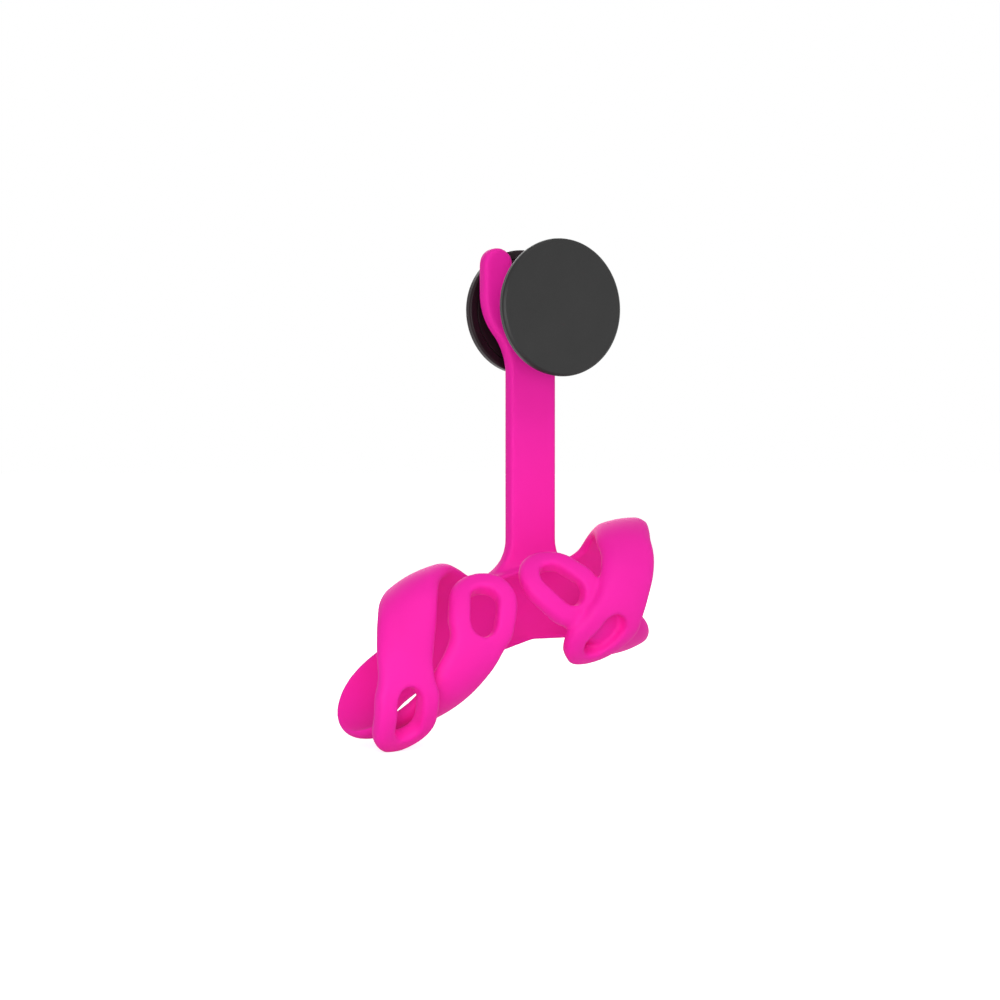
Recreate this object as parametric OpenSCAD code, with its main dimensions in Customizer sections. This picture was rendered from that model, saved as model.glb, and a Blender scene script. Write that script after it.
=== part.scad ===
// Bendable phone mount: a soft leg-and-fork body wound round a bar, with an expanding
// grip held in its fork. Millimetres, +Z up, +Y towards the phone. The origin lies on
// the axis of the bar, under the middle of the stem.

/* [Bar that the legs hold] */
// Radius of the bar
bar_r = 15; // [14:0.5:15]
// Rise of the bar's axis towards +X, in degrees
bar_tilt = 15; // [0:1:20]

/* [Legs] */
// Width of a leg's strap
strap_w = 16.4; // [15:0.2:16.6]
// Thickness of a leg
leg_t = 5; // [4.6:0.1:5.2]
// Depth that a leg is squeezed flat against the bar
leg_press = 0.6; // [0.5:0.1:0.8]
// Width of the loop at a leg's end
loop_w = 19.5; // [18:0.5:20]
// Width of the opening in the loop
loop_hole_w = 8; // [7:0.5:9]
// Straight stretch of the loop's long sides
loop_straight = 6.2; // [5:0.2:7]

/* [Stem and fork] */
// Width of the stem
stem_w = 15.6; // [15:0.1:16]
// Thickness of the stem, the fork and the hub
stem_t = 4.6; // [4.4:0.1:4.6]
// Height of the grip's axis above the bar's axis
grip_z = 85.5; // [84:0.5:88]
// Width of the fork's slot
slot_w = 14; // [13.8:0.1:14]
// Width of the fork across its fingers
fork_w = 33; // [32:0.5:34]
// Height of the finger tips above the grip's axis
finger_rise = 18; // [16:0.5:19]

/* [Grip] */
// Diameter of the top disc
cap_d = 40; // [38:0.5:40]
// Diameter of the base disc
base_d = 36.8; // [36:0.2:38]
// Distance from the bar's axis to the phone's back
phone_y = 24; // [24:0.1:24.5]
// Length of the open grip, from the phone to the top disc's face
grip_l = 25.7; // [25:0.1:26]
// Diameter of the grip's neck in the fork
neck_d = 13.2; // [12.8:0.1:13.2]

/* [Hidden] */

pink = "#FF22B0";
steel = "#A8ACB0";
black = "#2A2A2C";
clear_gel = "#C9CCD0";

// A leg's route: distance along the bar, angle about it (0 front, 90 top, 180 back),
// the gap under the leg, and its roll, in degrees, which lowers its left edge as it
// goes. The last two rows are the loop's centre and its tip.
upper_left = [
    [4, 170, -0.7, 0], [-8, 169, -0.5, 0], [-18, 165, 0, 0], [-26, 151, 0.2, 4], [-32.4, 129, 1, 9],
    [-38.8, 107, 2, 13], [-46.2, 87, 2.2, 13], [-51.2, 67, 1.4, 7], [-55, 47, 0.4, 0],
    [-58.8, 26, 0.6, 0], [-62.4, 4, 2.4, 0], [-65.6, -28, 5, 0], [-67.4, -62, 6, 0]];
lower_left = [
    [4, 190, -0.7, 0], [-15, 191, -0.3, 0], [-33, 195, 0, 0], [-48, 204, 0, 0], [-59, 219, 0, -3],
    [-65, 240, 0, -7], [-65.4, 263, 0, -8], [-61.6, 282, 0, -4], [-55.5, 301, 0.2, 0],
    [-46.5, 331, 0.2, 0], [-40, 354, 0, 0], [-33.6, 388, 0.2, 0], [-27, 426, 0.8, 0]];
upper_right = [
    [-4, 170, -0.7, 0], [8, 176, -0.5, 0], [18, 174, 0, 0], [25, 159.5, 0, 0], [27.8, 132, -0.8, -4],
    [27, 104, -1.5, -7], [23.8, 78, -1.1, -6], [19.8, 54, -0.2, -1], [17, 34, 0.8, 0],
    [12.9, 15, 2.4, 0], [7, -6, 4, 0], [1, -25.5, 3, 0], [-9, -47, 0.4, 0]];
lower_right = [
    [-4, 190, -0.7, 0], [5, 200.6, -0.5, 0], [13.9, 211.3, 0, 0], [17.3, 219.6, 0, 0],
    [19, 230.8, 0, 0], [19.2, 243.4, 0, 0], [18, 257.7, 0, 0], [16, 278, 0.2, 0], [12.5, 304, 0, 0],
    [6, 332, 0, 0], [-0.5, 357, 0, 0], [-7.2, 388, 0, 0], [-13, 428, 0.4, 0]];

mid_r = bar_r - leg_press + leg_t / 2;
edge_r = leg_t / 2;
route_steps = 8;
strap_pitch = 4;
loop_band = (loop_w - loop_hole_w) / 2;
loop_r = (loop_w + loop_hole_w) / 4;
loop_steps = 12;
strap_tuck = 1.4;
strap_end = 0.6;
fold_room = 0.95;
leg_sink = 0.5;

// Angle about the bar at which its wall's faces begin: above the front, where legs lie.
bar_seam = -30;

stem_press = 0.3;
stem_y = bar_r - stem_press + stem_t / 2;
finger_r = (fork_w - slot_w) / 4;
finger_x = (fork_w + slot_w) / 4;
shoulder_r = 18;
throat_r = 17.5;
bend = 41;
shoulder = [fork_w / 2 - shoulder_r, grip_z + 4.5];
throat = shoulder + (shoulder_r + throat_r) * [cos(bend), -sin(bend)];
foot_r = 11;
foot_turn = 60;
foot = [stem_w / 2 + foot_r, 18];
hub_corner_r = 4;
hub_corner = foot - (foot_r + hub_corner_r) * [cos(foot_turn), sin(foot_turn)];
hub_end_r = 8;
hub_end = [0, 3];

wire_d = 1.8;
wire_sides = 8;
wire_cover = 0.3;
wire_start = 3;
wire_pitch = 5;
wire_root_w = 1.8;
wire_strap_w = 3.2;
plate_w = 12;
plate_t = 2.4;
plate_low = -3;
plate_high = 10;
// Stem wire, right side: points in X and Z from the plate into the finger.
stem_wire = [[3.6, 8.6], [3.6, 30], [3.6, 60], [4.6, 68], [8, 76], [11, 83], [11.8, 91], [11.8, 98]];

round_fn = 96;
pad_t = 0.8;
pad_d = 34;
base_t = 2.55;
base_y = phone_y - pad_t - base_t;
base_floor = 1;
base_edge = 0.8;
well_r = 15.9;
ring_r = 15.6;
ring_in = 12;
ring_face = 0.2;
cap_t = 1.3;
cap_edge = 0.7;
cap_y = phone_y - grip_l;
plate_y = cap_y + cap_t;
top_r = cap_d / 2 - 0.3;
top_web = 1;
top_rim = 1.7;
top_depth = 1.8;
boss_r = 6.2;
boss_y = plate_y + 2.8;
snap_r = 2.2;
snap_head_r = 4.2;
snap_head_y = boss_y + 2.2;
wall = 0.9;
neck_r = neck_d / 2;
fork_gap = 0.4;
fork_back = stem_y + stem_t / 2 + fork_gap;
fork_front = stem_y - stem_t / 2 - fork_gap;
fold_r = 10.2;
valley_r = 7;
// Outside of the accordion from the top plate to the base, as [radius, Y].
folds = [[boss_r, boss_y + 2], [valley_r - 0.3, boss_y + 2.8], [fold_r - 0.6, boss_y + 4.9],
         [valley_r, boss_y + 7.2], [fold_r, boss_y + 9.7], [neck_r, fork_front], [neck_r, fork_back],
         [fold_r, fork_back + 0.5], [fold_r + 1.3, fork_back + 1.1]];

function unit(v) = v / norm(v);

// Point on a curve through b and c, with a and d next along it, at t from 0 to 1.
function curve(a, b, c, d, t) =
    0.5 * (2 * b + (c - a) * t + (2 * a - 5 * b + 4 * c - d) * t * t
        + (3 * b - a - 3 * c + d) * t * t * t);

// A route's rows as points along a smooth curve in space, each with its roll.
function place(row) =
    let (r = mid_r + row[2])
    [row[0], -r * cos(row[1]), r * sin(row[1]), row[3]];
function smooth(rows) =
    let (n = len(rows) - 1)
    [for (i = [0:n - 1]) for (k = [0:route_steps - 1])
        place(curve(rows[max(i - 1, 0)], rows[i], rows[i + 1], rows[min(i + 2, n)], k / route_steps)),
     place(rows[n])];

// Length along the points up to each one.
function gap_after(p, i) = i + 1 < len(p) ? norm(p[i + 1] - p[i]) : 0;
function lengths(p, i = 0, done = 0) =
    i == len(p) ? [] : concat([done], lengths(p, i + 1, done + gap_after(p, i)));

// A leg as a ribbon: a table of x, y, z and roll against length.
function ribbon(rows) =
    let (rolled = smooth(rows), p = [for (q = rolled) [q[0], q[1], q[2]]], s = lengths(p))
    [for (k = [0:3]) [for (i = [0:len(p) - 1]) [s[i], rolled[i][k]]]];
function along(r, s) = [for (k = [0:2]) lookup(s, r[k])];

// A ribbon's frame at length s: its point, then the ways across and out.
function frame_at(r, s) =
    let (step = 1.5, p = along(r, s), d = unit(along(r, s + step) - along(r, s - step)),
         across = unit(cross(d, [0, p[1], p[2]])), out = cross(across, d), roll = lookup(s, r[3]))
    [p, across * cos(roll) - out * sin(roll), out * cos(roll) + across * sin(roll)];

// How sharply a ribbon turns sideways at length s, towards its right when above zero.
function turn_at(r, s) =
    let (a = frame_at(r, max(s - 2, 0)), b = frame_at(r, s + 2), way = b[0] - a[0])
    (a[1] - b[1]) * unit(way) / norm(way);

// Near 1 where a leg lies on the bar and 0 where it stands off it. Its inner half is
// deepened there, so that the bar's cut leaves no hollow under it.
function hugging(p) = min(max(1 - (norm([p[1], p[2]]) - mid_r) / 0.6, 0), 1);

// Point of a ribbon's frame, w across it and h out of it. A wide ribbon bends with the bar.
function on_ribbon(f, w, h) =
    let (turn = norm([0, f[1][1], f[1][2]]))
    f[0] + f[1] * w + f[2] * (h - w * w * turn * turn / (2 * mid_r));

// Rings of points joined into a closed solid.
module skin(rings, closed = false) {
    n = len(rings);
    m = len(rings[0]);
    sides = [for (i = [0:n - (closed ? 1 : 2)]) for (j = [0:m - 1])
        let (a = i * m + j, b = i * m + (j + 1) % m, c = ((i + 1) % n) * m, d = c + (j + 1) % m, e = c + j)
        each [[a, e, d], [a, d, b]]];
    ends = closed ? [] : [[for (j = [0:m - 1]) j], [for (j = [m - 1:-1:0]) (n - 1) * m + j]];
    polyhedron(points = [for (r = rings) each r], faces = concat(sides, ends), convexity = 10);
}

// Section of a strap: flat faces and round edges, as [across, out] points.
function strap_section() =
    let (flat = strap_w / 2 - edge_r)
    concat([for (a = [90:-30:-90]) [flat + edge_r * cos(a), edge_r * sin(a)]],
           [[flat / 2, -edge_r], [0, -edge_r], [-flat / 2, -edge_r]],
           [for (a = [270:-30:90]) [-flat + edge_r * cos(a), edge_r * sin(a)]],
           [[-flat / 2, edge_r], [0, edge_r], [flat / 2, edge_r]]);

function loop_centre(rows, r) = r[0][(len(rows) - 2) * route_steps][0];
function stadium(radius, a) =
    [radius * cos(a) + sign(round(100 * cos(a))) * loop_straight / 2, radius * sin(a)];

module strap(rows) {
    r = ribbon(rows);
    last = loop_centre(rows, r) - loop_straight / 2 - loop_hole_w / 2 - strap_tuck;
    steps = ceil(last / strap_pitch);
    skin([for (i = [0:steps])
        let (s = last * i / steps, f = frame_at(r, s), k = turn_at(r, s),
             thin = i == steps ? strap_end : 1, deep = thin + leg_sink * hugging(f[0]))
        [for (q = strap_section())
            on_ribbon(f, q[0] * k > fold_room ? fold_room / k : q[0], q[1] * (q[1] < 0 ? deep : thin))]]);
}

// The band of a loop: an oval ring whose section has round edges.
module loop_end(rows) {
    r = ribbon(rows);
    centre = loop_centre(rows, r);
    flat = loop_band / 2 - edge_r;
    turns = [for (i = [0:2 * loop_steps - 1]) 180 * (i + 0.5) / loop_steps - 90];
    skin([for (a = turns) [for (b = [15:30:345])
        let (q = stadium(loop_r + edge_r * cos(b) + sign(cos(b)) * flat, a))
        on_ribbon(frame_at(r, centre + q[0]), q[1], edge_r * sin(b))]], closed = true);
}

module leg(rows) {
    strap(rows);
    loop_end(rows);
}

// Outline of the stem and the fork, right half, from the foot of the stem up.
function arc(centre, radius, from, to, steps) =
    [for (i = [0:steps]) let (a = from + (to - from) * i / steps) centre + radius * [cos(a), sin(a)]];
function half_outline() = concat(
    arc(hub_end, hub_end_r, -90, -40, 4),
    arc(hub_corner, hub_corner_r, -50, 180 - foot_turn - 120, 3),
    arc(foot, foot_r, 180 + foot_turn, 180, 6),
    arc(throat, throat_r, 180, 180 - bend, 5),
    arc(shoulder, shoulder_r, -bend, 0, 6),
    arc([finger_x, grip_z + finger_rise - finger_r], finger_r, 0, 180, 10),
    arc([0, grip_z], slot_w / 2, 0, -90, 8));
function outline() =
    let (h = half_outline(), n = len(h))
    concat(h, [for (i = [n - 2:-1:1]) [-h[i][0], h[i][1]]]);

// A flat plate with round edges, from its outline in X and Z.
module round_plate(points, y, thick) {
    n = len(points);
    r = thick / 2;
    normals = [for (i = [0:n - 1])
        let (d = unit(points[(i + 1) % n] - points[(i + n - 1) % n])) [d[1], -d[0]]];
    skin([for (a = [90:-30:-90]) [for (i = [0:n - 1])
        let (q = points[i] - normals[i] * r * (1 - cos(a))) [q[0], y + r * sin(a), q[1]]]]);
}

module silicone_body() color(pink)
    difference() {
        resize([0, 0, 0]) {
            round_plate(outline(), stem_y, stem_t);
            rotate([0, -bar_tilt, 0]) {
                leg(upper_left);
                leg(lower_left);
                leg(upper_right);
                leg(lower_right);
            }
        }
        rotate([0, 90 - bar_tilt, 0]) rotate([0, 0, bar_seam])
            cylinder(r = bar_r, h = 240, center = true, $fn = 96);
    }

// A wire of round section through points, with the way out of its bend at each one.
module wire(points, outs) {
    n = len(points) - 1;
    skin([for (i = [0:n])
        let (d = unit(points[min(i + 1, n)] - points[max(i - 1, 0)]),
             across = unit(cross(d, outs[i])), out = cross(across, d))
        [for (k = [wire_sides - 1:-1:0])
            let (a = 360 * k / wire_sides)
            points[i] + wire_d / 2 * (across * cos(a) + out * sin(a))]]);
}

// A hairpin of wire up one side of a leg, round its loop and back down the other side.
function ease(t) = let (c = min(max(t, 0), 1)) c * c * (3 - 2 * c);
function wire_w(s, neck) =
    wire_root_w + (wire_strap_w - wire_root_w) * ease((s - 4) / 20)
        + (loop_r - wire_strap_w) * ease((s - neck + 12) / 12);
module leg_wire(rows) {
    r = ribbon(rows);
    centre = loop_centre(rows, r);
    neck = centre - loop_straight / 2;
    steps = ceil((neck - wire_start) / wire_pitch);
    side = [for (i = [0:steps]) let (s = wire_start + (neck - wire_start) * i / steps) [s, wire_w(s, neck)]];
    bow = [for (a = [80:-20:-80]) let (q = stadium(loop_r, a)) [centre + q[0], q[1]]];
    path = concat(side, bow, [for (i = [steps:-1:0]) [side[i][0], -side[i][1]]]);
    frames = [for (q = path) frame_at(r, q[0])];
    low = bar_r + wire_cover + wire_d / 2;
    points = [for (i = [0:len(path) - 1])
        let (w = path[i][1], p = on_ribbon(frames[i], w, 0), lift = max(0, low - norm([p[1], p[2]])))
        on_ribbon(frames[i], w, lift)];
    color(steel) rotate([0, -bar_tilt, 0]) wire(points, [for (f = frames) f[2]]);
}

module stem_wire_right() {
    n = len(stem_wire) - 1;
    line = [for (i = [0:n - 1]) for (k = [0:3])
        curve(stem_wire[max(i - 1, 0)], stem_wire[i], stem_wire[i + 1], stem_wire[min(i + 2, n)], k / 4)];
    color(steel) wire([for (q = line) [q[0], stem_y, q[1]]], [for (q = line) [0, 1, 0]]);
}
module stem_wire_left() mirror([1, 0, 0]) stem_wire_right();

// Steel plate in the hub, which the wires are pressed into.
module hub_plate() color(steel)
    translate([-plate_w / 2, stem_y - plate_t / 2, plate_low]) cube([plate_w, plate_t, plate_high - plate_low]);

// A body of revolution about the grip's axis, from its section as [radius, Y].
module turned(section) translate([0, 0, grip_z]) rotate([-90, 0, 0])
    rotate_extrude($fn = round_fn) polygon(section);

module adhesive_pad() color(clear_gel)
    turned([[0, phone_y - pad_t], [pad_d / 2, phone_y - pad_t], [pad_d / 2, phone_y], [0, phone_y]]);

module base_plate() color(black)
    turned(concat(
        [[0, base_y + base_t - base_floor], [well_r, base_y + base_t - base_floor], [well_r, base_y]],
        arc([base_d / 2 - base_edge, base_y + base_edge], base_edge, -90, 0, 4),
        [[base_d / 2, base_y + base_t], [0, base_y + base_t]]));

module base_ring() color(black)
    turned([[ring_in, base_y + ring_face], [ring_r, base_y + ring_face],
            [ring_r, base_y + base_t - base_floor], [ring_in, base_y + base_t - base_floor]]);

module accordion() {
    n = len(folds) - 1;
    outside = [for (i = [0:n - 1]) for (k = [0:3])
        curve(folds[max(i - 1, 0)], folds[i], folds[i + 1], folds[min(i + 2, n)], k / 4)];
    foot_y = base_y + base_t - base_floor;
    collar = snap_r + 0.3;
    color(black) turned(concat(
        [[collar, boss_y + 0.1], [boss_r, boss_y + 0.1]], outside,
        [folds[n], [folds[n][0], foot_y], [folds[n][0] - 3, foot_y], [folds[n][0] - 3, folds[n][1] + 0.5]],
        [for (i = [len(outside) - 1:-1:2]) outside[i] - [wall, 0]],
        [[collar, boss_y + 2]]));
}

module snap_plug() color(black)
    turned([[0, plate_y + top_web + 0.2], [snap_r - 0.05, plate_y + top_web + 0.2], [snap_r - 0.05, snap_head_y],
            [snap_head_r, snap_head_y], [snap_head_r - 1.2, snap_head_y + 1], [0, snap_head_y + 1]]);

module top_plate() color(black)
    turned([[0, plate_y], [top_r, plate_y], [top_r, plate_y + top_depth], [top_r - top_rim, plate_y + top_depth],
            [top_r - top_rim, plate_y + top_web], [boss_r, plate_y + top_web], [boss_r, boss_y],
            [snap_r, boss_y], [snap_r, plate_y + top_web], [0, plate_y + top_web]]);

module top_cap() color(black)
    turned(concat(
        [[0, cap_y]], arc([cap_d / 2 - cap_edge, cap_y + cap_edge], cap_edge, -90, 0, 4),
        [[cap_d / 2, plate_y], [0, plate_y]]));

silicone_body();
hub_plate();
leg_wire(upper_left);  // leg_wire_upper_left
leg_wire(lower_left);  // leg_wire_lower_left
leg_wire(upper_right);  // leg_wire_upper_right
leg_wire(lower_right);  // leg_wire_lower_right
stem_wire_left();
stem_wire_right();
adhesive_pad();
base_plate();
base_ring();
accordion();
snap_plug();
top_plate();
top_cap();
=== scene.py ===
"""Bendable phone mount: a moulded silicone body with a wire inside it, and the expanding
grip that stands in its fork. Arrays are in millimetres, with +Z up and +Y towards the
phone, and become metres when they are put into a mesh."""

import bmesh
import bpy
import numpy as np
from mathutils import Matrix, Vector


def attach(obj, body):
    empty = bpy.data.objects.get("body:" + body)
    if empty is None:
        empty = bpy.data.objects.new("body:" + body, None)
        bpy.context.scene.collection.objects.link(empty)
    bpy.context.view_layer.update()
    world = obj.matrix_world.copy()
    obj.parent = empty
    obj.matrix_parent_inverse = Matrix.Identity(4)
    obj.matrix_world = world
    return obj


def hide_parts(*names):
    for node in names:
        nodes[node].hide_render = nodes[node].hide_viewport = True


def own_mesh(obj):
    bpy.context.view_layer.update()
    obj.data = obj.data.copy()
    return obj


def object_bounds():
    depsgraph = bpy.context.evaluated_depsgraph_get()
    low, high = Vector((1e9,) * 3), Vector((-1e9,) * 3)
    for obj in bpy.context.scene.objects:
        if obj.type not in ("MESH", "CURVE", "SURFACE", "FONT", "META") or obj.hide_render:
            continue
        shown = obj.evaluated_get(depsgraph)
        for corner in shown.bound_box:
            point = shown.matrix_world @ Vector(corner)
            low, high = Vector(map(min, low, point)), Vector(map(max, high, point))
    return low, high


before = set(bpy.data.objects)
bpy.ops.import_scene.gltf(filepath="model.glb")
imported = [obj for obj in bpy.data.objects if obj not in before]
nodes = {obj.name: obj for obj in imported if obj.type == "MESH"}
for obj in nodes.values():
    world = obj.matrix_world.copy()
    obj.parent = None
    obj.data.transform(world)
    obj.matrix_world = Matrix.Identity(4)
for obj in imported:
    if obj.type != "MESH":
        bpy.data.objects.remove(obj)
cad_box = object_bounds()

# Wires and hub plate
#
# The bones of the legs and the stem: soft steel wire, drawn through a die, bent into
# hairpins and pressed into a punched steel plate. All of it is sealed in the silicone.


def linear(shade):
    """A hex colour as linear light: each channel c becomes ((c + 0.055) / 1.055) to the
    power 2.4, or c / 12.92 where it is very dark."""
    c = np.array([int(shade[k : k + 2], 16) for k in (1, 3, 5)]) / 255
    return (*np.where(c > 0.04045, ((c + 0.055) / 1.055) ** 2.4, c / 12.92), 1.0)


def add(tree, kind, values=(), links=(), **settings):
    """Adds a node: its settings by name, its input values as (input, value), and the
    links into it as (input, node, output)."""
    made = tree.nodes.new(kind)
    for name, value in settings.items():
        setattr(made, name, value)
    for name, value in values:
        made.inputs[name].default_value = value
    for name, source, output in links:
        tree.links.new(source.outputs[output], made.inputs[name])
    return made


def new_material(name):
    """A material with its tree emptied, and the node that gives the place on a piece."""
    made = bpy.data.materials.new(name)
    made.use_nodes = True
    made.node_tree.nodes.clear()
    return made, made.node_tree, add(made.node_tree, "ShaderNodeTexCoord")


def two_tone(tree, first, second, source, output):
    """Mixes two hex colours by another node's output, and gives the colour's socket."""
    mix = add(
        tree,
        "ShaderNodeMix",
        [("A", linear(first)), ("B", linear(second))],
        [("Factor", source, output)],
        data_type="RGBA",
    )
    return next(out for out in mix.outputs if out.type == "RGBA")


# Drawn steel: bright grey metal with fine die lines, about 0.3 mm apart, so its gloss is
# broken up along the wire.
drawn_steel, tree, place = new_material("drawn_steel")
die_lines = add(
    tree,
    "ShaderNodeTexNoise",
    [("Scale", 3300.0), ("Detail", 2.0)],
    [("Vector", place, "Object")],
)
sheen = add(
    tree,
    "ShaderNodeMapRange",
    [("To Min", 0.28), ("To Max", 0.42)],
    [("Value", die_lines, "Fac")],
)
relief = add(
    tree,
    "ShaderNodeBump",
    [("Strength", 0.15), ("Distance", 0.00002)],
    [("Height", die_lines, "Fac")],
)
surface = add(
    tree,
    "ShaderNodeBsdfPrincipled",
    [("Base Color", linear("#A8ACB0")), ("Metallic", 1.0)],
    [("Roughness", sheen, "Result"), ("Normal", relief, "Normal")],
)
add(tree, "ShaderNodeOutputMaterial", (), [("Surface", surface, "BSDF")])

for bone in (
    "hub_plate",
    "leg_wire_upper_left",
    "leg_wire_lower_left",
    "leg_wire_upper_right",
    "leg_wire_lower_right",
    "stem_wire_left",
    "stem_wire_right",
):
    nodes[bone].data.materials[0] = drawn_steel

# Silicone body
#
# Hub, stem, two-fingered fork and four looped legs in one moulding of pink silicone
# rubber, over the wires. The legs are wound on a 30 mm bar and lie flat against it.

BAR_R = 15.0
BAR_TILT = np.radians(15)
LEG_T = 5.0
LEG_PRESS = 0.6
MID_R = BAR_R - LEG_PRESS + LEG_T / 2
STRAP_HALF = 8.2
LOOP_R = 9.75
HOLE_R = 4.0
LOOP_STRAIGHT = 6.2
STRAP_EDGE = 2.4
LOOP_EDGE = 1.8
HOLE_EDGE = 0.9
DOME = 1.0
FLARE_R = 12.0
MIDDLE_OVERLAP = 1.4
ROOT_ANGLE = 20
CURVE_STEPS = 40

# Routes of the legs: distance along the bar, angle about it (0 front, 90 top, 180 back),
# the gap under the leg, and its roll in degrees. The last two rows are the loop's centre
# and its tip.
LEGS = [
    [[4, 170, -0.7, 0], [-8, 169, -0.5, 0], [-18, 165, 0, 0], [-26, 151, 0.2, 4],
     [-32.4, 129, 1, 9], [-38.8, 107, 2, 13], [-46.2, 87, 2.2, 13], [-51.2, 67, 1.4, 7],
     [-55, 47, 0.4, 0], [-58.8, 26, 0.6, 0], [-62.4, 4, 2.4, 0], [-65.6, -28, 5, 0],
     [-67.4, -62, 6, 0]],
    [[4, 190, -0.7, 0], [-15, 191, -0.3, 0], [-33, 195, 0, 0], [-48, 204, 0, 0],
     [-59, 219, 0, -3], [-65, 240, 0, -7], [-65.4, 263, 0, -8], [-61.6, 282, 0, -4],
     [-55.5, 301, 0.2, 0], [-46.5, 331, 0.2, 0], [-40, 354, 0, 0], [-33.6, 388, 0.2, 0],
     [-27, 426, 0.8, 0]],
    [[-4, 170, -0.7, 0], [8, 176, -0.5, 0], [18, 174, 0, 0], [25, 159.5, 0, 0],
     [27.8, 132, -0.8, -4], [27, 104, -1.5, -7], [23.8, 78, -1.1, -6], [19.8, 54, -0.2, -1],
     [17, 34, 0.8, 0], [12.9, 15, 2.4, 0], [7, -6, 4, 0], [1, -25.5, 3, 0],
     [-9, -47, 0.4, 0]],
    [[-4, 190, -0.7, 0], [5, 200.6, -0.5, 0], [13.9, 211.3, 0, 0], [17.3, 219.6, 0, 0],
     [19, 230.8, 0, 0], [19.2, 243.4, 0, 0], [18, 257.7, 0, 0], [16, 278, 0.2, 0],
     [12.5, 304, 0, 0], [6, 332, 0, 0], [-0.5, 357, 0, 0], [-7.2, 388, 0, 0],
     [-13, 428, 0.4, 0]],
]


def unit(v):
    """Each vector divided by its own length."""
    return v / np.linalg.norm(v, axis=-1, keepdims=True)


def route(rows):
    """A smooth run through the rows: between two of them it is the cubic whose slope at
    each is half the step from the row before to the row after. Gives the length up to
    each point, the points on the bar, and the roll."""
    rows = np.array(rows, float)
    last = len(rows) - 1
    t = np.arange(last * CURVE_STEPS + 1) / CURVE_STEPS
    i = np.minimum(t.astype(int), last - 1)
    k = (t - i)[:, None]
    a, b, c, d = (rows[np.clip(i + n, 0, last)] for n in (-1, 0, 1, 2))
    q = b + (c - a) * k / 2 + (2 * a - 5 * b + 4 * c - d) * k**2 / 2
    q += (3 * b - a - 3 * c + d) * k**3 / 2
    r, turn = MID_R + q[:, 2], np.radians(q[:, 1])
    points = np.stack([q[:, 0], -r * np.cos(turn), r * np.sin(turn)], 1)
    steps = np.linalg.norm(np.diff(points, axis=0), axis=1)
    return np.concatenate([[0], np.cumsum(steps)]), points, np.radians(q[:, 3])


def on_leg(run, s, w, h):
    """Points of a leg, s along its run, w across it and h out of it. Across is square to
    the run and to the way out of the bar. A point w off the middle sinks by w squared
    over twice the radius, so that the strap bends with the bar."""
    length, points, roll = run

    def at(v):
        return np.stack([np.interp(v, length, points[:, k]) for k in range(3)], -1)

    p, way = at(s), unit(at(s + 1.5) - at(s - 1.5))
    across = unit(np.cross(way, p * [0, 1, 1]))
    out = np.cross(across, way)
    turn = np.interp(s, length, roll)[..., None]
    across, out = (
        across * np.cos(turn) - out * np.sin(turn),
        out * np.cos(turn) + across * np.sin(turn),
    )
    bend = across[..., 1] ** 2 + across[..., 2] ** 2
    return p + across * w[..., None] + out * (h - w**2 * bend / (2 * MID_R))[..., None]


def arc(x, y, radius, start, end, steps):
    """Points on a circle about (x, y), from one angle to another, in degrees."""
    a = np.radians(np.linspace(start, end, steps + 1))
    return np.stack([x + radius * np.cos(a), y + radius * np.sin(a)], 1)


def leg_outline(centre):
    """Half of a leg, laid flat, as pairs of points (along, across): one on its outer side
    and one on its inner side. The outer side runs up the strap, flares through a hollow
    of 12 mm radius and goes round the loop. The inner one runs up past the middle line,
    so that the two halves join, and goes round the opening."""
    near, far = centre - LOOP_STRAIGHT / 2, centre + LOOP_STRAIGHT / 2
    back = np.sqrt((LOOP_R + FLARE_R) ** 2 - (STRAP_HALF + FLARE_R) ** 2)
    meet = np.degrees(np.arctan2(back, STRAP_HALF + FLARE_R))
    strap = np.linspace(0, near - back, 90)
    root = HOLE_R * np.cos(np.radians(ROOT_ANGLE))
    outer = np.concatenate([
        np.stack([strap, np.full(90, STRAP_HALF)], 1),
        arc(near - back, STRAP_HALF + FLARE_R, FLARE_R, -90, -90 + meet, 10)[1:],
        arc(near, 0, LOOP_R, 90 + meet, 90, 10)[1:],
        np.stack([np.linspace(near, far, 9), np.full(9, LOOP_R)], 1)[1:],
        arc(far, 0, LOOP_R, 90, 0, 24)[1:],
    ])
    up = np.linspace(0, near - root, 90)
    sunk = MIDDLE_OVERLAP * np.clip((near - root - up) / 4, 0, 1)
    dip = -HOLE_R * np.sin(np.radians(ROOT_ANGLE)) - sunk
    inner = np.concatenate([
        np.stack([up, dip], 1),
        arc(near, 0, HOLE_R, 180 + ROOT_ANGLE, 90, 20)[1:],
        np.stack([np.linspace(near, far, 9), np.full(9, HOLE_R)], 1)[1:],
        arc(far, 0, HOLE_R, 90, 0, 24)[1:],
    ])
    return outer, inner


def rounded_edge(radius, half, steps=6):
    """Edge of a plate, from its lower face to its upper one, as (how far in, height): a
    quarter circle of the radius, the flat side, and a quarter circle. Given a radius for
    each ring, it gives an edge for each."""
    radius = np.asarray(radius, float)[..., None]
    a = np.linspace(-np.pi / 2, 0, steps + 1)
    low = np.stack([radius * (1 - np.cos(a)), radius - half + radius * np.sin(a)], -1)
    return np.concatenate([low, low[..., ::-1, :] * [1, -1]], -2)


def tube(rings):
    """Skin of a tube from its rings of points, with a face on each end."""
    n, m = rings.shape[:2]
    a = np.arange((n - 1) * m).reshape(n - 1, m)
    b = np.roll(a, -1, 1)
    sides = np.stack([a, b, b + m, a + m], -1).reshape(-1, 4).tolist()
    ends = [list(range(m))[::-1], list(range((n - 1) * m, n * m))]
    return rings.reshape(-1, 3), sides + ends


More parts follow.
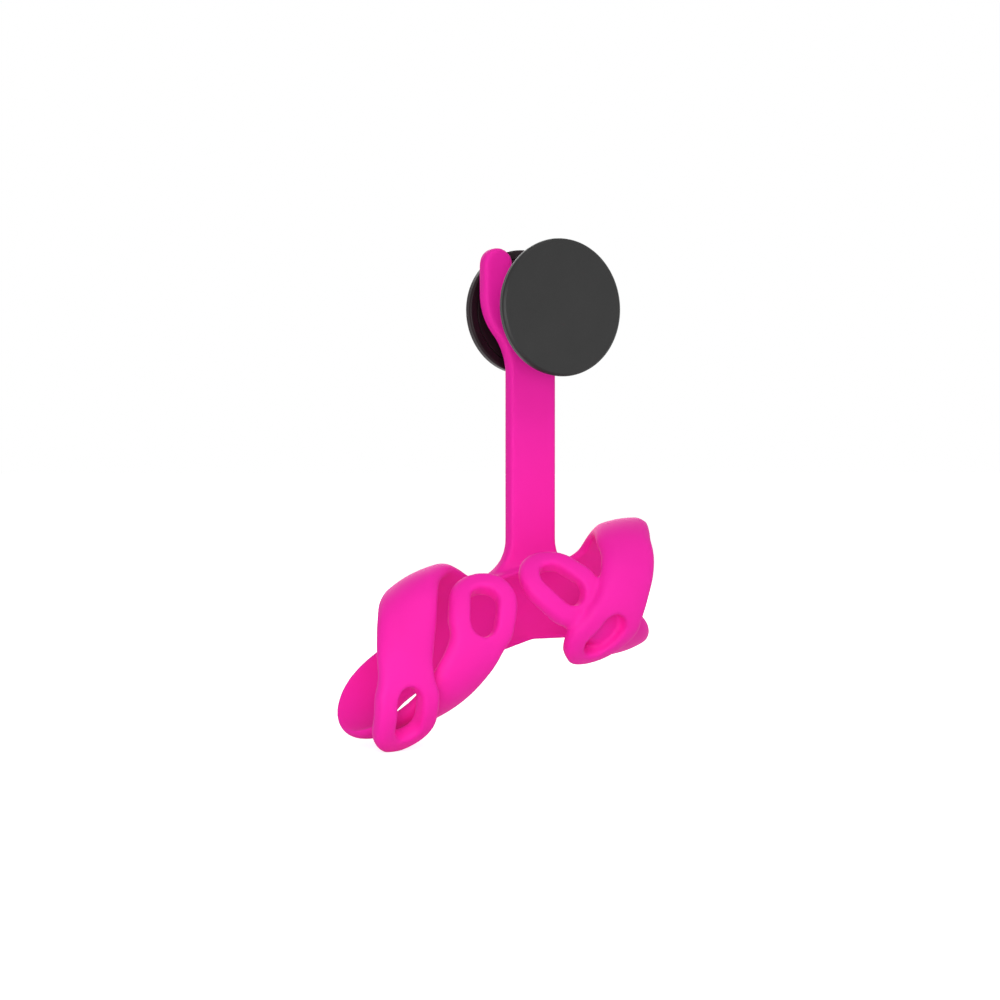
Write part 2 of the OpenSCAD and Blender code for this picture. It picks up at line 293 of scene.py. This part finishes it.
def leg(rows):
    """A leg as a band that goes up one half, round the opening and down the other. Its
    section is a plate from the outer side to the inner one. The strap's outer face is a
    low dome, which falls with the square of the way across and fades out at the loop."""
    run = route(rows)
    centre = run[0][(len(rows) - 2) * CURVE_STEPS]
    outer, inner = leg_outline(centre)
    mirror = [1, -1]
    outer = np.concatenate([outer, outer[-2::-1] * mirror])
    inner = np.concatenate([inner, inner[-2::-1] * mirror])
    inward = unit(inner - outer)[:, None]
    looped = np.clip((outer[:, 0] - centre + 16) / 10, 0, 1)
    out_edge = rounded_edge(STRAP_EDGE + (LOOP_EDGE - STRAP_EDGE) * looped, LEG_T / 2)
    in_edge = rounded_edge(np.full(len(outer), HOLE_EDGE), LEG_T / 2)[:, ::-1]
    out_side = outer[:, None] + inward * out_edge[..., :1]
    in_side = inner[:, None] - inward * in_edge[..., :1]
    share = np.linspace(0, 1, 8)[1:-1, None]
    top = out_side[:, -1:] * (1 - share) + in_side[:, :1] * share
    bottom = in_side[:, -1:] * (1 - share) + out_side[:, :1] * share
    flat = np.concatenate([out_side, top, in_side, bottom], 1)
    level = np.full((len(outer), len(share)), LEG_T / 2)
    h = np.concatenate([out_edge[..., 1], level, in_edge[..., 1], -level], 1)
    fall = DOME * (flat[..., 1] / STRAP_HALF) ** 2 * (1 - looped[:, None])
    h = h - fall * np.clip(h / LEG_T + 0.5, 0, 1)
    return tube(on_leg(run, flat[..., 0], flat[..., 1], h))


STEM_HALF = 7.8
STEM_T = 4.6
STEM_Y = BAR_R - 0.3 + STEM_T / 2
STEM_EDGE = 0.9
GRIP_Z = 85.5
SLOT_R = 7.0
FORK_HALF = 16.5
FINGER_R = (FORK_HALF - SLOT_R) / 2
FINGER_X = (FORK_HALF + SLOT_R) / 2
FINGER_TOP = GRIP_Z + 18
SHOULDER_R = 18.0
THROAT_R = 17.5
FOOT_R = 11.0
FOOT_Z = 18.0
HUB_CORNER_R = 4.0
HUB_END_R = 8.0
HUB_END_Z = 3.0


def stem():
    """The flat stem with its foot and fork, as arcs from the foot up to the tip of the
    right finger and down round the slot. The left half mirrors it."""
    bend, foot_turn = 41, 60
    shoulder = np.array([FORK_HALF - SHOULDER_R, GRIP_Z + 4.5])
    slope, lean = np.radians(-bend), np.radians(foot_turn)
    throat = shoulder + (SHOULDER_R + THROAT_R) * np.array([np.cos(slope), np.sin(slope)])
    foot = np.array([STEM_HALF + FOOT_R, FOOT_Z])
    corner = foot - (FOOT_R + HUB_CORNER_R) * np.array([np.cos(lean), np.sin(lean)])
    half = np.concatenate([
        arc(0, HUB_END_Z, HUB_END_R, -90, -40, 12),
        arc(*corner, HUB_CORNER_R, -50, 0, 6)[:-1],
        arc(*corner, HUB_CORNER_R, 0, foot_turn, 8),
        arc(*foot, FOOT_R, 180 + foot_turn, 180, 20),
        np.stack([np.full(40, STEM_HALF), np.linspace(FOOT_Z, throat[1], 42)[1:-1]], 1),
        arc(*throat, THROAT_R, 180, 180 - bend, 24),
        arc(*shoulder, SHOULDER_R, -bend, 0, 24)[1:],
        arc(FINGER_X, FINGER_TOP - FINGER_R, FINGER_R, 0, 180, 40),
        arc(0, GRIP_Z, SLOT_R, 0, -90, 28),
    ])
    line = np.concatenate([half, half[-2:0:-1] * [-1, 1]])
    step = unit(np.roll(line, -1, 0) - np.roll(line, 1, 0))
    inward = np.stack([-step[:, 1], step[:, 0]], 1)
    rings = [
        np.stack([q[:, 0], np.full(len(q), STEM_Y + h), q[:, 1]], 1)
        for d, h in rounded_edge(STEM_EDGE, STEM_T / 2)
        for q in [line + inward * d]
    ]
    return tube(np.array(rings))


def piece(name, *parts):
    """A new object at the origin from parts of points in millimetres and faces. Its
    doubled points are merged and its faces turned outwards."""
    made = bmesh.new()
    for points, faces in parts:
        corners = [made.verts.new(p) for p in points * 0.001]
        for face in faces:
            made.faces.new([corners[k] for k in face])
    bmesh.ops.remove_doubles(made, verts=made.verts, dist=1e-7)
    bmesh.ops.recalc_face_normals(made, faces=made.faces)
    mesh = bpy.data.meshes.new(name)
    made.to_mesh(mesh)
    made.free()
    mesh.shade_smooth()
    obj = bpy.data.objects.new(name, mesh)
    bpy.context.scene.collection.objects.link(obj)
    return obj


def tilted(points, tilt=BAR_TILT):
    """Points of the bar's own frame turned so that its axis rises to the right."""
    c, s = np.cos(tilt), np.sin(tilt)
    return points @ np.array([[c, 0, s], [0, 1, 0], [-s, 0, c]])


legs = [leg(rows) for rows in LEGS]
body = piece("silicone_skin", *[(tilted(points), faces) for points, faces in legs], stem())

# One skin over legs and stem, rebuilt on cubes of this size in metres.
SKIN_CUBE = 0.00053
remesh = body.modifiers.new("one_skin", "REMESH")
remesh.mode = "VOXEL"
remesh.voxel_size = SKIN_CUBE
remesh.use_smooth_shade = True
bpy.context.view_layer.update()
seen = body.evaluated_get(bpy.context.evaluated_depsgraph_get())
one_skin = bpy.data.meshes.new_from_object(seen)
body.modifiers.clear()
body.data = one_skin
one_skin.name = "silicone_skin"

count = len(one_skin.vertices)
co = np.empty(count * 3, np.float32)
one_skin.vertices.foreach_get("co", co)
co = co.reshape(-1, 3).astype(float) * 1000
pairs = np.empty(len(one_skin.edges) * 2, np.int32)
one_skin.edges.foreach_get("vertices", pairs)
pairs = pairs.reshape(-1, 2)
ends = np.concatenate([pairs, pairs[:, ::-1]])
neighbours = np.bincount(ends[:, 0], minlength=count)[:, None]


def slack(points):
    """From each point to the mean of its neighbours."""
    total = [np.bincount(ends[:, 0], points[ends[:, 1], k], count) for k in range(3)]
    return np.stack(total, 1) / neighbours - points


def off_bar(points):
    """Points inside the bar pushed straight out to its surface."""
    own = tilted(points, -BAR_TILT)
    r = np.hypot(own[:, 1], own[:, 2])
    own[:, 1:] *= np.maximum(BAR_R / np.maximum(r, 1e-6), 1)[:, None]
    return tilted(own)


def outward(points):
    """Normals of the skin at its points, from its own faces."""
    one_skin.vertices.foreach_set("co", (points * 0.001).astype(np.float32).ravel())
    one_skin.update()
    n = np.empty(count * 3, np.float32)
    one_skin.vertex_normals.foreach_get("vector", n)
    return n.reshape(-1, 3)


# Corners where the legs leave the hub are filled, as a mould's rounded corners are: there
# a point moves out to its neighbours' mean, never in.
near_hub = np.clip((co[:, 1] - 6) / 4, 0, 1) * np.clip((34 - np.abs(co[:, 0])) / 6, 0, 1)
for _ in range(60):
    pull = slack(co)
    normal = outward(co)
    rise = np.maximum((pull * normal).sum(1), 0)
    co += normal * (rise * near_hub * 0.9)[:, None]

# The steps of the cubes are smoothed away: each point goes half way to its neighbours'
# mean and then a little further back, which keeps the body's volume.
for _ in range(12):
    co += 0.5 * slack(co)
    co -= 0.52 * slack(co)
co = off_bar(co)
for _ in range(9):
    co = off_bar(co + 0.4 * slack(co))
one_skin.vertices.foreach_set("co", (co * 0.001).astype(np.float32).ravel())
one_skin.update()
one_skin.shade_smooth()

# Silicone rubber, matt from a blasted mould: saturated pink, soft wide gloss, grain that
# is drawn at 0.5 mm because the real one of 0.05 mm is too fine to show, and a faint
# cloudiness of the pigment over about 15 mm.
silicone, tree, place = new_material("matt_silicone")
cloud = add(
    tree,
    "ShaderNodeTexNoise",
    [("Scale", 65.0), ("Detail", 2.0)],
    [("Vector", place, "Object")],
)
tint = two_tone(tree, "#F61EA8", "#F820AE", cloud, "Fac")
grain = add(
    tree,
    "ShaderNodeTexNoise",
    [("Scale", 2000.0), ("Detail", 3.0)],
    [("Vector", place, "Object")],
)
matt = add(
    tree,
    "ShaderNodeMapRange",
    [("To Min", 0.56), ("To Max", 0.68)],
    [("Value", grain, "Fac")],
)
relief = add(
    tree,
    "ShaderNodeBump",
    [("Strength", 0.12), ("Distance", 0.00003)],
    [("Height", grain, "Fac")],
)
surface = add(
    tree,
    "ShaderNodeBsdfPrincipled",
    [("IOR", 1.41), ("Specular IOR Level", 0.25)],
    [("Roughness", matt, "Result"), ("Normal", relief, "Normal")],
)
tree.links.new(tint, surface.inputs["Base Color"])
add(tree, "ShaderNodeOutputMaterial", (), [("Surface", surface, "BSDF")])

one_skin.materials.append(silicone)
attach(body, "mount")
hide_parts("silicone_body")

# Gel pad
#
# The disc of tacky gel that sticks the grip to a phone: cast polyurethane gel, punched
# out, and washed clean when it loses its hold.

TURN_STEPS = 160


def turned(section):
    """A section of [radius, y] points turned about the grip's axis: x is radius times
    cosine, z is radius times sine above the axis. Points on the axis are merged later."""
    section = np.array(section, float)
    a = np.arange(TURN_STEPS) * 2 * np.pi / TURN_STEPS
    r, y = section[:, :1], section[:, 1:]
    points = np.stack([r * np.cos(a), y + 0 * a, GRIP_Z + r * np.sin(a)], -1)
    n = len(section)
    i = np.arange(n)[:, None] * TURN_STEPS
    j = np.arange(TURN_STEPS)[None]
    k = (j + 1) % TURN_STEPS
    nxt = np.roll(i, -1, 0)
    faces = np.stack([i + j, i + k, nxt + k, nxt + j], -1).reshape(-1, 4)
    return points.reshape(-1, 3), faces


def rounded(section, steps=5):
    """A closed section of [radius, y, corner] points with each corner made an arc, and a
    point just before and after it so that the flats stay flat in the shading."""
    section = np.array(section, float)
    done = []
    rows = zip(np.roll(section, 1, 0), section, np.roll(section, -1, 0))
    for before, here, after in rows:
        p, c = here[:2], here[2]
        if c == 0:
            done.append([p])
            continue
        a, b = unit(before[:2] - p), unit(after[:2] - p)
        half = np.arccos(np.clip(a @ b, -1, 1)) / 2
        reach, middle = c / np.tan(half), p + unit(a + b) * c / np.sin(half)
        start, end = p + a * reach, p + b * reach
        t = np.linspace(0, 1, steps + 1)[:, None]
        bow = middle + unit((start - middle) * (1 - t) + (end - middle) * t) * c
        spare = min(0.12, c)
        done.append([start + a * spare, *bow, end + b * spare])
    return np.concatenate(done)


def turned_piece(name, section):
    """A turned piece. Faces that fold to nothing on the axis are left out."""
    points, faces = turned(section)
    on_axis = np.hypot(points[:, 0], points[:, 2] - GRIP_Z) < 1e-6
    order = np.arange(len(points))
    order[on_axis] = order[on_axis] // TURN_STEPS * TURN_STEPS
    kept = []
    for face in order[faces].tolist():
        face = list(dict.fromkeys(face))
        if len(face) > 2:
            kept.append(face)
    used = sorted({k for face in kept for k in face})
    new = dict(zip(used, range(len(used))))
    obj = piece(name, (points[used], [[new[k] for k in face] for face in kept]))
    obj.data.set_sharp_from_angle(angle=np.radians(32))
    return obj


PHONE_Y = 24.0
PAD_T = 0.8
gel_disc = turned_piece(
    "gel_disc",
    rounded([
        [0, PHONE_Y - PAD_T, 0], [17, PHONE_Y - PAD_T, 0.1], [17, PHONE_Y, 0.25],
        [0, PHONE_Y, 0],
    ]),
)

# Polyurethane gel: milky grey, wet gloss with soft dimples about 2 mm apart where it let
# go of a surface, and specks of lint caught on it.
gel, tree, place = new_material("tacky_gel")
dimples = add(
    tree,
    "ShaderNodeTexNoise",
    [("Scale", 480.0), ("Detail", 2.0)],
    [("Vector", place, "Object")],
)
lint = add(
    tree,
    "ShaderNodeTexNoise",
    [("Scale", 1500.0), ("Detail", 4.0)],
    [("Vector", place, "Object")],
)
speck = add(
    tree,
    "ShaderNodeMapRange",
    [("From Min", 0.62), ("From Max", 0.72), ("To Max", 0.35)],
    [("Value", lint, "Fac")],
)
tint = two_tone(tree, "#C9CCD0", "#A9ABAE", speck, "Result")
relief = add(
    tree,
    "ShaderNodeBump",
    [("Strength", 0.25), ("Distance", 0.0001)],
    [("Height", dimples, "Fac")],
)
surface = add(
    tree,
    "ShaderNodeBsdfPrincipled",
    [("Roughness", 0.16), ("IOR", 1.48)],
    [("Normal", relief, "Normal")],
)
tree.links.new(tint, surface.inputs["Base Color"])
add(tree, "ShaderNodeOutputMaterial", (), [("Surface", surface, "BSDF")])

gel_disc.data.materials.append(gel)
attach(gel_disc, "grip_base")
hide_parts("adhesive_pad")

# Base disc and its ring
#
# Injection-moulded ABS with a polished face. The ring is snapped into the disc's well
# and clamps the foot of the accordion; a thin groove is left round it.

BASE_R = 18.4
BASE_Y = 20.65
WELL_Y = 22.2
WELL_R = 15.9
base_disc = turned_piece(
    "base_disc",
    rounded([
        [0, WELL_Y, 0], [WELL_R, WELL_Y, 0.1], [WELL_R, BASE_Y, 0.1],
        [BASE_R, BASE_Y, 0.7], [BASE_R, PHONE_Y - PAD_T, 0.15], [0, PHONE_Y - PAD_T, 0],
    ]),
)
clamp_ring = turned_piece(
    "clamp_ring",
    rounded([
        [12, BASE_Y + 0.2, 0.12], [15.6, BASE_Y + 0.2, 0.12], [15.6, WELL_Y, 0],
        [12, WELL_Y, 0],
    ]),
)

# Polished ABS: near black, with a trace of red that is a painted reflection of the pink
# silicone, mirror-like but slightly soft, with very shallow waves about 8 mm long from the
# moulding and fine rubbed scratches.
gloss_abs, tree, place = new_material("polished_abs")
rub = add(
    tree,
    "ShaderNodeTexNoise",
    [("Scale", 900.0), ("Detail", 5.0)],
    [("Vector", place, "Object")],
)
wear = add(
    tree,
    "ShaderNodeMapRange",
    [("To Min", 0.3), ("To Max", 0.4)],
    [("Value", rub, "Fac")],
)
waves = add(
    tree,
    "ShaderNodeTexNoise",
    [("Scale", 120.0), ("Detail", 1.0)],
    [("Vector", place, "Object")],
)
relief = add(
    tree,
    "ShaderNodeBump",
    [("Strength", 0.08), ("Distance", 0.0002)],
    [("Height", waves, "Fac")],
)
# The trace of red in this base colour is a painted reflection of the pink silicone; the
# plastic itself is black.
surface = add(
    tree,
    "ShaderNodeBsdfPrincipled",
    [("Base Color", linear("#211218")), ("IOR", 1.5), ("Specular IOR Level", 0.15)],
    [("Roughness", wear, "Result"), ("Normal", relief, "Normal")],
)
add(tree, "ShaderNodeOutputMaterial", (), [("Surface", surface, "BSDF")])

for part, node in ((base_disc, "base_plate"), (clamp_ring, "base_ring")):
    part.data.materials.append(gloss_abs)
    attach(part, "grip_base")
    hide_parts(node)

# Accordion
#
# A thin cone of soft black TPU, moulded in folds, that opens and closes the grip. Its
# narrow neck stands in the fork, and its flared foot is held under the ring.

BOSS_Y = 2.4
NECK_R = 6.6
FORK_FRONT, FORK_BACK = 14.3, 19.7
WALL = 0.9
# The folds stay clear of the top disc's boss, which passes through them as they close.
FOLD_CLEAR = 6.3
COLLAR_R = 5.2
# Outside of the accordion, from the top disc to its foot, as [radius, y].
FOLDS = np.array([
    [6.9, BOSS_Y + 0.15], [6.9, BOSS_Y + 2.4], [9.6, BOSS_Y + 4.9], [7.2, BOSS_Y + 7.2],
    [10.2, BOSS_Y + 9.7], [NECK_R, FORK_FRONT], [NECK_R, FORK_BACK], [10.2, 20.2],
    [11.5, 20.8],
])


def through(points, steps):
    """The same smooth curve as a leg's run, through flat points."""
    last = len(points) - 1
    t = np.arange(last * steps + 1) / steps
    i = np.minimum(t.astype(int), last - 1)
    k = (t - i)[:, None]
    a, b, c, d = (points[np.clip(i + n, 0, last)] for n in (-1, 0, 1, 2))
    q = b + (c - a) * k / 2 + (2 * a - 5 * b + 4 * c - d) * k**2 / 2
    return q + (3 * b - a - 3 * c + d) * k**3 / 2


skin_line = through(FOLDS, 12)
split = 5 * 12
folds_line, neck_line = skin_line[: split + 1], skin_line[split:]
inside = np.maximum(folds_line - [WALL, 0], [FOLD_CLEAR, 0])
bellows = turned_piece("accordion_folds", np.concatenate([folds_line, inside[::-1]]))
collar = turned_piece(
    "accordion_collar",
    rounded([
        [2.5, BOSS_Y + 0.1, 0.1], [COLLAR_R, BOSS_Y + 0.1, 0.1],
        [COLLAR_R, BOSS_Y + 2, 0.3], [2.5, BOSS_Y + 2, 0.3],
    ]),
)
neck = turned_piece(
    "accordion_neck",
    np.concatenate([
        neck_line, [[11.5, WELL_Y], [8.5, WELL_Y], [8.5, 21.3]],
        (neck_line - [WALL, 0])[:3:-1] + [0, 0.25], [[NECK_R - WALL, FORK_FRONT]],
    ]),
)

# TPU: soft black, satin, with a fine dry bloom on the folds, drawn at 0.4 mm.
tpu, tree, place = new_material("satin_tpu")
bloom = add(
    tree,
    "ShaderNodeTexNoise",
    [("Scale", 2500.0), ("Detail", 3.0)],
    [("Vector", place, "Object")],
)
tint = two_tone(tree, "#171719", "#222225", bloom, "Fac")
relief = add(
    tree,
    "ShaderNodeBump",
    [("Strength", 0.1), ("Distance", 0.00003)],
    [("Height", bloom, "Fac")],
)
surface = add(
    tree,
    "ShaderNodeBsdfPrincipled",
    [("Roughness", 0.48), ("IOR", 1.5)],
    [("Normal", relief, "Normal")],
)
tree.links.new(tint, surface.inputs["Base Color"])
add(tree, "ShaderNodeOutputMaterial", (), [("Surface", surface, "BSDF")])

for part, carrier in ((bellows, "grip_base"), (neck, "grip_base"), (collar, "grip_top")):
    part.data.materials.append(tpu)
    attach(part, carrier)
    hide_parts("accordion")
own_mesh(bellows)

# Top disc
#
# A moulded rim plate with a hollow back, a snap plug that holds the accordion, and the
# swappable face: a satin disc with a turned chamfer that twists on.

CAP_Y = -1.7
PLATE_Y = -0.4
PLATE_BACK = PLATE_Y + 1
BOSS_R, BORE_R = 6.2, 2.2
cap = turned_piece(
    "top_face",
    rounded([
        [0, CAP_Y, 0], [19.25, CAP_Y, 0.3], [19.85, CAP_Y + 0.5, 0.2],
        [20, PLATE_Y - 0.1, 0.12], [19.6, PLATE_Y, 0], [0, PLATE_Y, 0],
    ]),
)
rim_plate = turned_piece(
    "rim_plate",
    rounded([
        [0, PLATE_Y, 0], [19.7, PLATE_Y, 0.1], [19.7, PLATE_Y + 1.8, 0.4],
        [18, PLATE_Y + 1.8, 0.3], [18, PLATE_BACK, 0.3], [BOSS_R, PLATE_BACK, 0.3],
        [BOSS_R, BOSS_Y - 0.8, 0.2], [BOSS_R - 0.8, BOSS_Y, 0.1], [BORE_R, BOSS_Y, 0.1],
        [BORE_R, PLATE_BACK, 0], [0, PLATE_BACK, 0],
    ]),
)

# Satin ABS of the rim plate: black, moulded against a spark-eroded face, so it has a
# fine even grain, drawn at 0.4 mm.
satin_abs, tree, place = new_material("satin_abs")
grain = add(
    tree,
    "ShaderNodeTexNoise",
    [("Scale", 2500.0), ("Detail", 2.0)],
    [("Vector", place, "Object")],
)
matt = add(
    tree,
    "ShaderNodeMapRange",
    [("To Min", 0.38), ("To Max", 0.52)],
    [("Value", grain, "Fac")],
)
relief = add(
    tree,
    "ShaderNodeBump",
    [("Strength", 0.1), ("Distance", 0.00003)],
    [("Height", grain, "Fac")],
)
surface = add(
    tree,
    "ShaderNodeBsdfPrincipled",
    [("Base Color", linear("#161618")), ("IOR", 1.5)],
    [("Roughness", matt, "Result"), ("Normal", relief, "Normal")],
)
add(tree, "ShaderNodeOutputMaterial", (), [("Surface", surface, "BSDF")])

# Anodised aluminium of the face: dyed black, bead-blasted, so it is dark and satin with
# no direction in it, and a faint unevenness of the dye over 10 mm.
anodised, tree, place = new_material("black_anodised_aluminium")
dye = add(
    tree,
    "ShaderNodeTexNoise",
    [("Scale", 100.0), ("Detail", 2.0)],
    [("Vector", place, "Object")],
)
tint = two_tone(tree, "#333333", "#363636", dye, "Fac")
blast = add(
    tree,
    "ShaderNodeTexNoise",
    [("Scale", 2500.0), ("Detail", 2.0)],
    [("Vector", place, "Object")],
)
matt = add(
    tree,
    "ShaderNodeMapRange",
    [("To Min", 0.42), ("To Max", 0.55)],
    [("Value", blast, "Fac")],
)
relief = add(
    tree,
    "ShaderNodeBump",
    [("Strength", 0.08), ("Distance", 0.00003)],
    [("Height", blast, "Fac")],
)
surface = add(
    tree,
    "ShaderNodeBsdfPrincipled",
    [("Metallic", 1.0)],
    [("Roughness", matt, "Result"), ("Normal", relief, "Normal")],
)
tree.links.new(tint, surface.inputs["Base Color"])
add(tree, "ShaderNodeOutputMaterial", (), [("Surface", surface, "BSDF")])

nodes["snap_plug"].data.materials[0] = satin_abs
rim_plate.data.materials.append(satin_abs)
cap.data.materials.append(anodised)
for part, node, slot in (
    (rim_plate, "top_plate", "satin_black"),
    (cap, "top_cap", "dark_metal"),
):
    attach(part, "grip_top")
    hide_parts(node)

# Studio
#
# Plain pale floor, white all round, a soft lamp from the left and front, weaker ones from
# the right and from above, and one behind.


def seen_directly(tree):
    """1 where the eye, a reflection or a view through glass meets a surface, 0 where its
    light falls on the object."""
    ray = add(tree, "ShaderNodeLightPath")
    direct = add(
        tree,
        "ShaderNodeMath",
        (),
        [(0, ray, "Is Camera Ray"), (1, ray, "Is Glossy Ray")],
        operation="MAXIMUM",
    )
    return add(
        tree,
        "ShaderNodeMath",
        (),
        [(0, direct, "Value"), (1, ray, "Is Transmission Ray")],
        operation="MAXIMUM",
    )


floor_z = cad_box[0][2]
FLOOR_HALF = 40.0
floor_mesh = bpy.data.meshes.new("floor")
corners = FLOOR_HALF * np.array([[-1, -1], [1, -1], [1, 1], [-1, 1]])
floor_mesh.from_pydata([(x, y, floor_z) for x, y in corners], [], [(0, 1, 2, 3)])
floor = bpy.data.objects.new("floor", floor_mesh)
bpy.context.scene.collection.objects.link(floor)
paper, tree, place = new_material("white_paper")
plain = add(tree, "ShaderNodeBsdfDiffuse", [("Color", linear("#E8E8E8"))])
glow = add(tree, "ShaderNodeEmission", [("Color", (1, 1, 1, 1)), ("Strength", 0.74)])
both = add(tree, "ShaderNodeAddShader", (), [(0, plain, "BSDF"), (1, glow, "Emission")])
surface = add(
    tree,
    "ShaderNodeMixShader",
    (),
    [("Fac", seen_directly(tree), "Value"), (1, plain, "BSDF"), (2, both, "Shader")],
)
add(tree, "ShaderNodeOutputMaterial", (), [("Surface", surface, "Shader")])
floor_mesh.materials.append(paper)

world = bpy.data.worlds.new("studio")
bpy.context.scene.world = world
world.use_nodes = True
tree = world.node_tree
tree.nodes.clear()
ambient = add(tree, "ShaderNodeBackground", [("Color", (1, 1, 1, 1)), ("Strength", 0.38)])
white = add(tree, "ShaderNodeBackground", [("Color", (1, 1, 1, 1)), ("Strength", 1.0)])
surface = add(
    tree,
    "ShaderNodeMixShader",
    (),
    [
        ("Fac", seen_directly(tree), "Value"),
        (1, ambient, "Background"),
        (2, white, "Background"),
    ],
)
add(tree, "ShaderNodeOutputWorld", (), [("Surface", surface, "Shader")])

for name, way, distance, size, power in (
    ("key", (-0.62, -0.72, 0.14), 0.42, 0.26, 0.84),
    ("fill", (0.55, -0.75, 0.1), 0.5, 0.3, 0.28),
    ("top", (0.05, -0.6, 0.8), 0.8, 0.5, 1.2),
    ("back", (0.3, 0.9, 0.4), 0.8, 0.6, 2.6),
):
    lamp = bpy.data.lights.new(name, "AREA")
    lamp.shape, lamp.size, lamp.energy = "DISK", size, power
    holder = bpy.data.objects.new(name, lamp)
    bpy.context.scene.collection.objects.link(holder)
    way = unit(np.array(way))
    holder.location = way * distance
    level = np.hypot(way[0], way[1])
    holder.rotation_euler = (np.arctan2(level, way[2]), 0, np.arctan2(way[0], -way[1]))

camera = bpy.data.objects.new("camera", bpy.data.cameras.new("camera"))
bpy.context.scene.collection.objects.link(camera)
camera.location = (-0.34076, -0.54971, 0.03838)
camera.rotation_euler = np.radians([90 - 0.76464, 0, -30.2412])
camera.data.sensor_width = 36
camera.data.lens = 80.285
bpy.context.scene.camera = camera
bpy.context.scene.view_settings.view_transform = "Standard"
